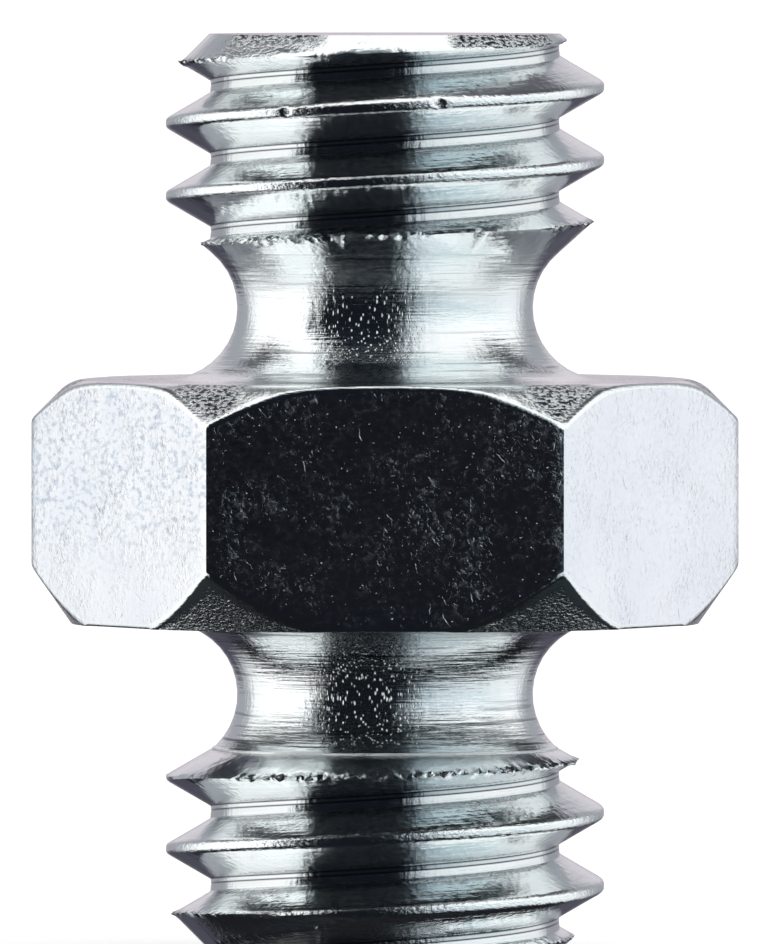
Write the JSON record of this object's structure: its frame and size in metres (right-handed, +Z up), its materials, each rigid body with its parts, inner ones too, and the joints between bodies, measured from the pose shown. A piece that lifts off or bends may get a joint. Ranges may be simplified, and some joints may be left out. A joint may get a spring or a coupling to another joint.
{
  "type": "spigot adapter",
  "caption": "Male-to-male camera support adapter: a hexagon collar between two relieved necks, with a right-hand UNC thread at each end.",
  "frame": {"origin": "centre of the lower end face, on which the adapter stands", "axes": "+Z up along the turned axis; two flats of the hexagon face -Y and +Y, and two of its corners lie on the X axis"},
  "size_m": [0.0154, 0.0134, 0.0199],
  "materials": {
    "zinc_plated_steel": "bright zinc plate with a clear blue passivate"
  },
  "bodies": {
    "root": {"adapter_stud": "zinc_plated_steel"}
  },
  "joints": []
}
